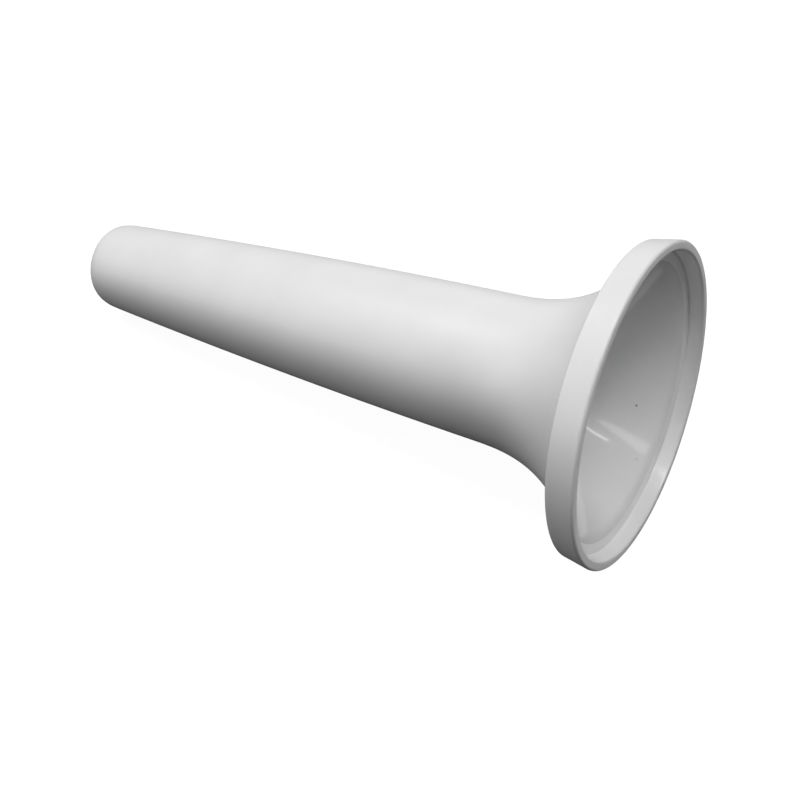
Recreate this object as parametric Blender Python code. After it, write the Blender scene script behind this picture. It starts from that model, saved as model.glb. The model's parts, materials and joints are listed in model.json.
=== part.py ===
"""A one-piece plastic filling funnel, lying on its collar and on the end of its tube."""

import math

import bpy

# Sizes in metres. A depth is measured along the axis, from the mouth towards the outlet.
OVERALL_LENGTH = 0.1354
COLLAR_RADIUS = 0.0304  # outside of the collar at its back shoulder
COLLAR_SPREAD = 0.0009  # how far the lip stands out past the back of the collar
COLLAR_WIDTH = 0.0056
COLLAR_WALL = 0.00145  # around the recess, at its ledge
LIP_WIDTH = 0.0019  # from the recess to the outside, rounded edges included
SHOULDER_WIDTH = 0.0046  # flat back of the collar, down to the root of the flare
SHOULDER_THICKNESS = 0.0026  # between the shoulder and the ledge in the mouth
FLARE_LENGTH = 0.0262
FLARE_POWER = 2.75
NECK_RADIUS = 0.0153
OUTLET_RADIUS = 0.0100
TUBE_POWER = 1.7  # above 1, so the tube tapers more towards its outlet
WALL = 0.0015

# Rounded edges, in metres
LIP_ROUND = 0.00065
LIP_INNER_ROUND = 0.0004
CORNER_ROUND = 0.0003
LEDGE_FILLET = 0.0003
THROAT_ROUND = 0.0016
NOSE_LENGTH = 0.0035  # how far the rounding reaches up the tube from the outlet
NOSE_DROP = 0.0010  # how much of the outlet's wall it takes

SEGMENTS = 60
FLARE_STEPS = 10
TUBE_STEPS = 8
CORNER_STEPS = 3

PLASTIC_COLOUR = (0.86, 0.86, 0.85, 1.0)
PLASTIC_ROUGHNESS = 0.38
PLASTIC_METALLIC = 0.0

LEDGE_DEPTH = COLLAR_WIDTH - SHOULDER_THICKNESS
FLARE_END = COLLAR_WIDTH + FLARE_LENGTH
ROOT_RADIUS = COLLAR_RADIUS - SHOULDER_WIDTH
FACET_SHARE = math.cos(math.pi / SEGMENTS)  # how near the axis the middle of a flat facet lies


def clear_scene():
    for scene_object in list(bpy.data.objects):
        bpy.data.objects.remove(scene_object, do_unlink=True)


def plastic_material():
    material = bpy.data.materials.new("white_moulded_plastic")
    material.use_nodes = True
    shader = material.node_tree.nodes["Principled BSDF"]
    shader.inputs["Base Color"].default_value = PLASTIC_COLOUR
    shader.inputs["Roughness"].default_value = PLASTIC_ROUGHNESS
    shader.inputs["Metallic"].default_value = PLASTIC_METALLIC
    return material


def tube_radius(depth):
    """Outside of the tube alone, which narrows faster and faster towards the outlet."""
    share = max(0.0, depth - COLLAR_WIDTH) / (OVERALL_LENGTH - COLLAR_WIDTH)
    return OUTLET_RADIUS + (NECK_RADIUS - OUTLET_RADIUS) * (1.0 - share ** TUBE_POWER)


def flared_radius(depth, start, mouth_radius, inset):
    """Radius of a skin that lies inset below the tube and opens to mouth_radius at start."""
    rise = mouth_radius - (tube_radius(start) - inset)
    left = max(0.0, FLARE_END - depth) / (FLARE_END - start)
    return tube_radius(depth) - inset + rise * left ** FLARE_POWER


def outer_radius(depth):
    return flared_radius(depth, COLLAR_WIDTH, ROOT_RADIUS, 0.0)


def throat_mouth_radius():
    """Where the ledge meets the throat, one wall inside the flare carried on to that depth."""
    slope = FLARE_POWER * (ROOT_RADIUS - NECK_RADIUS) / FLARE_LENGTH
    carried_on = ROOT_RADIUS + slope * SHOULDER_THICKNESS
    return carried_on - WALL * math.hypot(1.0, slope)


def bore_radius(depth):
    return flared_radius(depth, LEDGE_DEPTH, throat_mouth_radius(), WALL)


def skin(radius_at, start, end):
    """Points along a skin from start to end, with shorter steps in the flare than in the tube."""
    flare = [start + (FLARE_END - start) * step / FLARE_STEPS for step in range(FLARE_STEPS)]
    tube = [FLARE_END + (end - FLARE_END) * step / TUBE_STEPS for step in range(TUBE_STEPS + 1)]
    return [(radius_at(depth), depth) for depth in flare + tube]


def soft_corner(before, corner, after):
    """A curve that leaves one side at before and joins the next at after, short of the corner."""
    points = []
    for step in range(CORNER_STEPS + 1):
        share = step / CORNER_STEPS
        weights = ((1 - share) ** 2, 2 * share * (1 - share), share ** 2)
        points.append(tuple(
            sum(weight * point[axis] for weight, point in zip(weights, (before, corner, after)))
            for axis in (0, 1)))
    return points


def outline():
    """The wall's closed section as (radius, depth), down the outside and back up the inside."""
    lip = COLLAR_RADIUS + COLLAR_SPREAD
    lip_inner = lip - LIP_WIDTH
    recess = COLLAR_RADIUS - COLLAR_WALL
    throat = throat_mouth_radius()
    nose_start = OVERALL_LENGTH - NOSE_LENGTH
    throat_start = LEDGE_DEPTH + THROAT_ROUND
    points = soft_corner((lip - LIP_ROUND, 0.0), (lip, 0.0), (lip, LIP_ROUND))
    points += soft_corner(
        (COLLAR_RADIUS, COLLAR_WIDTH - CORNER_ROUND), (COLLAR_RADIUS, COLLAR_WIDTH),
        (COLLAR_RADIUS - CORNER_ROUND, COLLAR_WIDTH))
    points += skin(outer_radius, COLLAR_WIDTH, nose_start)[:-1]
    points += soft_corner(
        (outer_radius(nose_start), nose_start), (outer_radius(OVERALL_LENGTH), OVERALL_LENGTH),
        (outer_radius(OVERALL_LENGTH) - NOSE_DROP, OVERALL_LENGTH))
    points += reversed(skin(bore_radius, throat_start, OVERALL_LENGTH)[1:])
    points += soft_corner(
        (bore_radius(throat_start), throat_start), (throat, LEDGE_DEPTH),
        (throat + THROAT_ROUND, LEDGE_DEPTH))
    points += soft_corner(
        (recess - LEDGE_FILLET, LEDGE_DEPTH), (recess, LEDGE_DEPTH),
        (recess, LEDGE_DEPTH - LEDGE_FILLET))
    points += soft_corner(
        (lip_inner, LIP_INNER_ROUND), (lip_inner, 0.0), (lip_inner + LIP_INNER_ROUND, 0.0))
    return points


def resting_tilt(points):
    """Angle of the axis to the ground when the collar and the end of the tube both touch it."""
    collar = [point for point in points if point[1] <= COLLAR_WIDTH]
    tube = [point for point in points if point[1] > FLARE_END]
    slopes = [
        min((wide - narrow) / (far - near) for narrow, far in tube)
        for wide, near in collar]
    return math.atan(FACET_SHARE * max(slopes))


def resting_place(points, tilt):
    """Where the mouth's centre goes so that the box stands on the origin, centred in X."""
    along, across = math.cos(tilt), math.sin(tilt)
    lowest = min(-depth * across - radius * FACET_SHARE * along for radius, depth in points)
    front = max(-depth * along + radius * FACET_SHARE * across for radius, depth in points)
    back = min(-depth * along - radius * FACET_SHARE * across for radius, depth in points)
    return (-(front + back) / 2.0, 0.0, -lowest)


def funnel_body(points):
    """The section turned once around Z, with the mouth up and the tube hanging below it."""
    count = len(points)
    mesh = bpy.data.meshes.new("funnel_body")
    mesh.from_pydata(
        [(radius, 0.0, -depth) for radius, depth in points],
        [(index, (index + 1) % count) for index in range(count)], [])
    mesh.materials.append(plastic_material())
    body = bpy.data.objects.new("funnel_body", mesh)
    bpy.context.collection.objects.link(body)
    turn = body.modifiers.new("turn", "SCREW")
    turn.axis = "Z"
    turn.angle = 2.0 * math.pi
    turn.steps = SEGMENTS
    turn.render_steps = SEGMENTS
    turn.use_merge_vertices = True
    turn.merge_threshold = 0.00001
    turn.use_smooth_shade = True
    body.rotation_euler.z = math.pi / SEGMENTS  # a flat facet faces the ground
    return body


def lay_down(body, points):
    """The parent empty turns the mouth to +X and lets the collar and the outlet touch Z = 0."""
    tilt = resting_tilt(points)
    rest = bpy.data.objects.new("rest", None)
    bpy.context.collection.objects.link(rest)
    rest.rotation_euler.y = math.pi / 2.0 - tilt
    rest.location = resting_place(points, tilt)
    body.parent = rest


def main():
    clear_scene()
    points = outline()
    lay_down(funnel_body(points), points)


main()
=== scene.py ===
import json
import math

import bmesh
import bpy
from mathutils import Matrix, Quaternion, Vector


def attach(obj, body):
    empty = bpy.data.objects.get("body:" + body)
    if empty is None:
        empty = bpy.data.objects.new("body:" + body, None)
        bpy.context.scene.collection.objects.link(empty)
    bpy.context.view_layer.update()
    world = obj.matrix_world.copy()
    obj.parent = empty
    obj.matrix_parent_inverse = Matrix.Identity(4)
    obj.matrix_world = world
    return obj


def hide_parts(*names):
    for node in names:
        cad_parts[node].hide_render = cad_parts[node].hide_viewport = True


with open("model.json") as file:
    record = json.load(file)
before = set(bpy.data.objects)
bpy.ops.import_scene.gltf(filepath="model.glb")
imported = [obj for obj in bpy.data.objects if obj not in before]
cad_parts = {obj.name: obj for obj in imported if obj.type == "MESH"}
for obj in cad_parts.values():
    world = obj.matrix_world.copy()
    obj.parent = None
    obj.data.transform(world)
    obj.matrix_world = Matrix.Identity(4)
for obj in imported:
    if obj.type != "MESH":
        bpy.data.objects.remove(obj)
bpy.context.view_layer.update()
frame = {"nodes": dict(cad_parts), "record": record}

mm = 0.001

# The funnel's section, in millimetres. A depth runs along the axis from the mouth to the outlet.
funnel = {
    "length": 135.4,
    "collarRadius": 30.4,  # outside, at the back shoulder
    "collarSpread": 0.9,  # how far the lip stands out past the shoulder
    "collarWidth": 5.6,
    "collarWall": 1.45,
    "lipWidth": 1.9,
    "shoulderWidth": 4.6,
    "shoulderThickness": 2.6,
    "flareLength": 26.2,
    "flarePower": 2.75,
    "neckRadius": 15.3,
    "outletRadius": 10.0,
    "tubePower": 1.7,
    "wall": 1.5,
    "noseLength": 3.5,
    "noseDrop": 1.0,
    "noseSteps": 8,
    "flareSteps": 26,
    "tubeSteps": 40,
    "segments": 240,
    "lipRound": 0.65,
    "lipInnerRound": 0.4,
    "shoulderRound": 0.3,
    "rootFillet": 0.8,
    "ledgeFillet": 0.3,
    "throatRound": 1.9,
    "roundSteps": 5,
    "roundingClear": 1.2,  # share of the throat's rounding that is kept free of other points
    "pickReach": 0.02,  # how near its corner a point has to lie to be rounded
    "mergeReach": 0.002,
    "smoothAngle": 40,
    "polishedBelow": -0.3,  # faces turned to the axis by more than this are polished
}


def tubeRadius(depth):
    f = funnel
    share = max(0.0, depth - f["collarWidth"]) / (f["length"] - f["collarWidth"])
    return f["outletRadius"] + (f["neckRadius"] - f["outletRadius"]) * (1 - share ** f["tubePower"])


def flaredRadius(depth, start, mouthRadius, inset):  # a skin that opens to mouthRadius at start
    f = funnel
    flareEnd = f["collarWidth"] + f["flareLength"]
    rise = mouthRadius - (tubeRadius(start) - inset)
    left = max(0.0, flareEnd - depth) / (flareEnd - start)
    return tubeRadius(depth) - inset + rise * left ** f["flarePower"]


def sectionPoints():  # sharp corners and both skins, as (radius, depth), once round the wall
    f = funnel
    lip = f["collarRadius"] + f["collarSpread"]
    recess = f["collarRadius"] - f["collarWall"]
    root = f["collarRadius"] - f["shoulderWidth"]
    ledge = f["collarWidth"] - f["shoulderThickness"]
    slope = f["flarePower"] * (root - f["neckRadius"]) / f["flareLength"]
    throat = root + slope * f["shoulderThickness"] - f["wall"] * math.hypot(1, slope)
    flareEnd = f["collarWidth"] + f["flareLength"]
    noseStart = f["length"] - f["noseLength"]

    def skin(start, mouthRadius, inset, end):
        flare = [start + (flareEnd - start) * i / f["flareSteps"] for i in range(f["flareSteps"])]
        tube = [flareEnd + (end - flareEnd) * i / f["tubeSteps"] for i in range(f["tubeSteps"] + 1)]
        return [(flaredRadius(d, start, mouthRadius, inset), d) for d in flare + tube]

    nose = []
    for i in range(1, f["noseSteps"] + 1):  # the tube's end turns in on a quarter of an ellipse
        turn = math.pi / 2 * i / f["noseSteps"]
        depth = noseStart + f["noseLength"] * math.sin(turn)
        nose.append((tubeRadius(depth) - f["noseDrop"] * (1 - math.cos(turn)), depth))
    corners = {
        "lipRound": (lip, 0.0),
        "lipInnerRound": (lip - f["lipWidth"], 0.0),
        "shoulderRound": (f["collarRadius"], f["collarWidth"]),
        "rootFillet": (root, f["collarWidth"]),
        "ledgeFillet": (recess, ledge),
        "throatRound": (throat, ledge),
    }
    outside = [(lip, 0.0), (f["collarRadius"], f["collarWidth"])]
    outside += skin(f["collarWidth"], root, 0.0, noseStart) + nose
    inside = skin(ledge, throat, f["wall"], f["length"])
    roundingEnd = ledge + f["roundingClear"] * f["throatRound"]
    inside = inside[:1] + [p for p in inside if p[1] > roundingEnd]
    inside.reverse()
    inside += [(recess, ledge), (lip - f["lipWidth"], 0.0)]
    return outside + inside, corners


def funnelPlace():  # from the section's own space, mouth up on Z, to where the frame's funnel lies
    rim = next(m for m in frame["record"]["mounts"] if m["name"] == "mouth_rim")
    axis = Vector(rim["axis"]).normalized()
    side = Vector((0, 1, 0))
    across = side.cross(axis)
    rimPoint = Vector(rim["pos_m"])
    centre = rimPoint - across * (rimPoint.dot(across) - axisHeight(across))
    turn = Matrix((across, side, axis)).transposed().to_4x4()
    return Matrix.Translation(centre) @ turn


def axisHeight(across):  # halfway between the collar's lowest and highest point, across the axis
    heights = [v.co.dot(across) for v in frame["nodes"]["funnel_body"].data.vertices]
    return (min(heights) + max(heights)) / 2


def selectNear(mesh, point, tolerance):
    shape = bmesh.from_edit_mesh(mesh)
    for vert in shape.verts:
        vert.select = (vert.co - point).length < tolerance
    shape.select_flush(True)
    bmesh.update_edit_mesh(mesh)


def makeFunnel():
    f = funnel
    points, corners = sectionPoints()
    places = [Vector((r * mm, 0, -d * mm)) for r, d in points]
    bpy.ops.object.select_all(action="DESELECT")
    bpy.ops.mesh.primitive_plane_add(size=f["lipWidth"] * mm, location=(0, 0, 0))
    piece = bpy.context.object
    piece.name = piece.data.name = "funnelBody"
    bpy.ops.object.mode_set(mode="EDIT")
    bpy.ops.mesh.merge(type="CENTER")  # to one point, from which the section is drawn
    bpy.ops.transform.translate(value=places[0])
    for here, there in zip(places, places[1:]):
        bpy.ops.mesh.extrude_vertices_move(TRANSFORM_OT_translate={"value": there - here})
    bpy.ops.mesh.select_all(action="SELECT")
    bpy.ops.mesh.edge_face_add()
    bpy.ops.mesh.select_mode(type="VERT")
    for name, (radius, depth) in corners.items():
        selectNear(piece.data, Vector((radius * mm, 0, -depth * mm)), f["pickReach"] * mm)
        bpy.ops.mesh.bevel(
            offset=f[name] * mm, offset_type="OFFSET", segments=f["roundSteps"], profile=0.5,
            affect="VERTICES", clamp_overlap=False)
    bpy.ops.mesh.select_all(action="SELECT")
    bpy.ops.mesh.delete(type="ONLY_FACE")
    bpy.ops.mesh.select_all(action="SELECT")
    bpy.ops.mesh.spin(
        steps=f["segments"], angle=2 * math.pi, center=(0, 0, 0), axis=(0, 0, 1))
    bpy.ops.mesh.select_all(action="SELECT")
    bpy.ops.mesh.remove_doubles(threshold=f["mergeReach"] * mm)
    bpy.ops.mesh.normals_make_consistent(inside=False)
    bpy.ops.object.mode_set(mode="OBJECT")
    piece.data.transform(funnelPlace())
    lowest = min(v.co.z for v in piece.data.vertices)
    piece.data.transform(Matrix.Translation((0, 0, -lowest)))
    bpy.ops.object.shade_smooth_by_angle(angle=math.radians(f["smoothAngle"]))
    bpy.ops.object.modifier_add(type="WEIGHTED_NORMAL")  # keeps flat faces flat beside roundings
    bpy.ops.object.modifier_apply(modifier=piece.modifiers[-1].name)
    print("funnel turned:", len(piece.data.vertices), "points,", len(piece.data.polygons), "faces")
    return piece


def linear(hexColour):  # sRGB hex to Blender's linear colour
    values = [int(hexColour[i:i + 2], 16) / 255 for i in (0, 2, 4)]
    return [v / 12.92 if v <= 0.04045 else ((v + 0.055) / 1.055) ** 2.4 for v in values] + [1.0]


# A Mix node's colour sockets have the same names as its other kinds, so they go by number.
mixFirst = 6
mixSecond = 7
mixResult = 2


def addNode(tree, kind, links=(), **settings):
    node = tree.nodes.new(kind)
    for name, value in settings.items():
        if name in node.bl_rna.properties:
            setattr(node, name, value)
        else:
            node.inputs[name.replace("_", " ")].default_value = value
    for source, output, target in links:
        tree.links.new(source.outputs[output], node.inputs[target])
    return node


def newMaterial(name):
    material = bpy.data.materials.new(name)
    material.use_nodes = True
    return material, material.node_tree, material.node_tree.nodes["Principled BSDF"]


# Injection-moulded polypropylene, one white pigment all through. The mould's outside was left satin,
# so the tube shows a wide soft sheen, broken by fine grain and by marks where it was drawn out.
satinOutside = {
    "colour": "f3f3f3",
    "cloudColour": "eeeeee",  # thin milky clouds where the melt flowed
    "specks": [],
    "roughness": (0.36, 0.42),
    "ior": 1.49,
    "coat": 0.0,
    "coatRoughness": 0.2,
    "cloudSize": 18.0,
    "grainSize": 0.9,  # real grain is 0.1 mm, drawn coarser so that it shows
    "grainDepth": 0.006,
    "markWidth": 0.8,  # across a draw mark
    "markLength": 22.0,
    "markDepth": 0.010,
}
# The core that shaped the throat and bore was polished, so the same white has a thin gloss there, and
# narrow lamps show as pale streaks. Burnt grains in the melt left one dark speck and two faint ones.
glossyInside = {
    "colour": "f3f3f3",
    "cloudColour": "efefef",
    "speckColour": "585858",
    "specks": [  # place and radius in millimetres, and how dark
        ((59.1, 15.5, 15.6), 0.36, 0.6),
        ((63.3, 8.6, 8.2), 0.35, 0.18),
        ((65.4, 0.4, 5.1), 0.35, 0.08),
    ],
    "roughness": (0.40, 0.46),
    "ior": 1.49,
    "coat": 1.0,
    "coatRoughness": 0.09,
    "cloudSize": 14.0,
    "grainSize": 0.7,
    "grainDepth": 0.002,
    "markWidth": 0.6,
    "markLength": 14.0,
    "markDepth": 0.003,
}


# How strongly the noise patterns of both finishes stand out, and how fine they are.
pattern = {
    "cloudRange": (0.35, 0.65),
    "markRange": (0.3, 0.7),
    "cloudDetail": 4,
    "fineDetail": 3,
    "speckCore": 0.5,  # share of a speck's radius that is evenly dark
}


def whitePlastic(name, finish):
    material, tree, shader = newMaterial(name)
    shader.inputs["IOR"].default_value = finish["ior"]
    shader.inputs["Coat Weight"].default_value = finish["coat"]
    shader.inputs["Coat Roughness"].default_value = finish["coatRoughness"]
    axis = funnelPlace().col[2]
    place = addNode(tree, "ShaderNodeTexCoord")
    along = addNode(
        tree, "ShaderNodeMapping", [(place, "Object", "Vector")],
        Rotation=(0, math.atan2(axis.z, axis.x), 0))
    drawn = addNode(
        tree, "ShaderNodeMapping", [(along, "Vector", "Vector")],
        Scale=(finish["markWidth"] / finish["markLength"], 1, 1))
    clouds = addNode(
        tree, "ShaderNodeTexNoise", [(place, "Object", "Vector")],
        Scale=1 / (finish["cloudSize"] * mm), Detail=pattern["cloudDetail"])
    grain = addNode(
        tree, "ShaderNodeTexNoise", [(place, "Object", "Vector")],
        Scale=1 / (finish["grainSize"] * mm), Detail=pattern["fineDetail"])
    marks = addNode(
        tree, "ShaderNodeTexNoise", [(drawn, "Vector", "Vector")],
        Scale=1 / (finish["markWidth"] * mm), Detail=pattern["fineDetail"])
    spread = addNode(
        tree, "ShaderNodeMapRange", [(clouds, "Fac", "Value")],
        From_Min=pattern["cloudRange"][0], From_Max=pattern["cloudRange"][1])
    colour = addNode(
        tree, "ShaderNodeMix", [(spread, "Result", 0)], data_type="RGBA")
    colour.inputs[mixFirst].default_value = linear(finish["colour"])
    colour.inputs[mixSecond].default_value = linear(finish["cloudColour"])
    for point, radius, darkness in finish["specks"]:
        distance = addNode(
            tree, "ShaderNodeVectorMath", [(place, "Object", 0)], operation="DISTANCE")
        distance.inputs[1].default_value = [v * mm for v in point]
        nearness = addNode(
            tree, "ShaderNodeMapRange", [(distance, "Value", "Value")], interpolation_type="SMOOTHSTEP",
            From_Min=radius * mm * pattern["speckCore"], From_Max=radius * mm,
            To_Min=darkness, To_Max=0.0)
        speck = addNode(
            tree, "ShaderNodeMix", [(nearness, "Result", 0), (colour, mixResult, mixFirst)],
            data_type="RGBA")
        speck.inputs[mixSecond].default_value = linear(finish["speckColour"])
        colour = speck
    tree.links.new(colour.outputs[mixResult], shader.inputs["Base Color"])
    rough = addNode(
        tree, "ShaderNodeMapRange", [(marks, "Fac", "Value")],
        From_Min=pattern["markRange"][0], From_Max=pattern["markRange"][1],
        To_Min=finish["roughness"][0], To_Max=finish["roughness"][1])
    tree.links.new(rough.outputs["Result"], shader.inputs["Roughness"])
    grainBump = addNode(
        tree, "ShaderNodeBump", [(grain, "Fac", "Height")], Distance=finish["grainDepth"] * mm)
    markBump = addNode(
        tree, "ShaderNodeBump", [(marks, "Fac", "Height"), (grainBump, "Normal", "Normal")],
        Distance=finish["markDepth"] * mm)
    tree.links.new(markBump.outputs["Normal"], shader.inputs["Normal"])
    print("material made:", name)
    return material


def finishInside(piece):  # the collar's inner wall, throat and bore are polished, ledge and lip are not
    place = funnelPlace().inverted()
    spin = place.to_3x3()
    for face in piece.data.polygons:
        centre = place @ face.center
        normal = spin @ face.normal
        outward = (centre.x * normal.x + centre.y * normal.y) / math.hypot(centre.x, centre.y)
        face.material_index = 1 if outward < funnel["polishedBelow"] else 0


# Where the mouth's centre lies in the camera's view: millimetres right of, above and in front of it.
camera = {
    "azimuth": 31.86,
    "elevation": 44.68,
    "roll": 0.08,
    "lens": 48.61,
    "mouthInView": (45.16, -1.68, -197.93),
}


def viewDirection(azimuth, elevation):  # from the object, azimuth 0 towards -Y and 90 towards +X
    a, e = math.radians(azimuth), math.radians(elevation)
    return Vector((math.sin(a) * math.cos(e), -math.cos(a) * math.cos(e), math.sin(e)))


def addCamera():
    bpy.ops.object.camera_add()
    piece = bpy.context.object
    piece.data.lens = camera["lens"]
    back = viewDirection(camera["azimuth"], camera["elevation"])
    right = Vector((0, 0, 1)).cross(back).normalized()
    turn = Matrix((right, back.cross(right), back)).transposed()
    turn = turn @ Matrix.Rotation(math.radians(camera["roll"]), 3, "Z")
    mouth = funnelPlace().translation
    place = mouth - turn @ (Vector(camera["mouthInView"]) * mm)
    piece.matrix_world = Matrix.Translation(place) @ turn.to_4x4()
    bpy.context.scene.camera = piece
    print("camera placed")


# Lamps round the mouth: azimuth, elevation, roll in degrees, distance and size in metres, watts.
# A fill lamp shows in no reflection, and a reflection lamp shows nowhere else.
lights = {
    "full": {
        "overhead": (90, 84, 0, 1.4, (0.5, 0.5), 6.9),
        "leftHigh": (275, 55, 0, 1.5, (0.9, 0.7), 7.7),
        "leftFront": (305, 28, 0, 1.5, (0.7, 0.6), 3.8),
        "leftLow": (315, 8, 0, 1.5, (0.6, 0.3), 2.2),
        "leftBack": (240, 30, 0, 1.5, (0.7, 0.6), 0.3),
    },
    "fill": {
        "behindLeft": (210, 10, 0, 1.5, (0.7, 0.4), 6.0),
        "behindRight": (150, 10, 0, 1.5, (0.7, 0.4), 3.9),
        "rightHigh": (100, 68, 0, 1.4, (0.5, 0.4), 2.6),
        "right": (60, 30, 0, 1.5, (0.6, 0.5), 0.8),
        "rightLow": (60, 6, 0, 1.5, (0.6, 0.3), 1.8),
        "rightBack": (120, 10, 0, 1.5, (0.6, 0.4), 1.3),
    },
    "reflection": {
        "thinStrip": (94, 74, 15, 1.26, (0.05, 1.05), 1.3),
        "wideStrip": (89.4, 42.4, 32, 1.5, (0.18, 1.15), 1.4),
        "smallCard": (295, 80.5, 0, 1.35, (0.14, 0.3), 0.4),
        "topCard": (270, 80, 0, 1.35, (2.6, 0.45), 4.5),
    },
}


def addLight(name, kind, azimuth, elevation, roll, distance, size, power):
    direction = viewDirection(azimuth, elevation)
    place = funnelPlace().translation + direction * distance
    bpy.ops.object.light_add(type="AREA", location=place)
    lamp = bpy.context.object
    lamp.name = name
    turn = direction.to_track_quat("Z", "Y") @ Quaternion((0, 0, 1), math.radians(roll))
    lamp.rotation_euler = turn.to_euler()
    lamp.data.shape = "RECTANGLE"
    lamp.data.size, lamp.data.size_y = size
    lamp.data.energy = power
    lamp.visible_glossy = kind != "fill"
    lamp.visible_diffuse = kind != "reflection"


# A dull grey that glows nearly white, so that the funnel's shadow stays faint. It lights nothing.
paleFloor = {
    "size": 6,
    "colour": "808080",
    "roughness": 0.9,
    "glowColour": "ffffff",
    "glow": 0.93,
}


def makeFloor():
    bpy.ops.mesh.primitive_plane_add(size=paleFloor["size"], location=(0, 0, 0))
    piece = bpy.context.object
    piece.name = "floor"
    piece.visible_diffuse = False
    piece.visible_glossy = False
    material, tree, shader = newMaterial("paleFloor")
    piece.data.materials.append(material)
    shader.inputs["Base Color"].default_value = linear(paleFloor["colour"])
    shader.inputs["Roughness"].default_value = paleFloor["roughness"]
    shader.inputs["Emission Color"].default_value = linear(paleFloor["glowColour"])
    shader.inputs["Emission Strength"].default_value = paleFloor["glow"]
    print("floor made")
    return piece


def makeWorld():  # plain white to the camera, and no light on the funnel
    world = bpy.data.worlds.new("world")
    bpy.context.scene.world = world
    world.use_nodes = True
    background = world.node_tree.nodes["Background"]
    background.inputs["Color"].default_value = linear("ffffff")
    background.inputs["Strength"].default_value = 1.0
    world.cycles_visibility.diffuse = False
    world.cycles_visibility.glossy = False
    print("world made")


body = makeFunnel()
body.data.materials.append(whitePlastic("satinWhitePolypropylene", satinOutside))
body.data.materials.append(whitePlastic("polishedWhitePolypropylene", glossyInside))
finishInside(body)
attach(body, "root")
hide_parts("funnel_body")
addCamera()
for kind, group in lights.items():
    for name, values in group.items():
        addLight(name, kind, *values)
    print("lights placed:", kind, len(group))
floor = makeFloor()
makeWorld()
bpy.context.scene.view_settings.view_transform = "Standard"
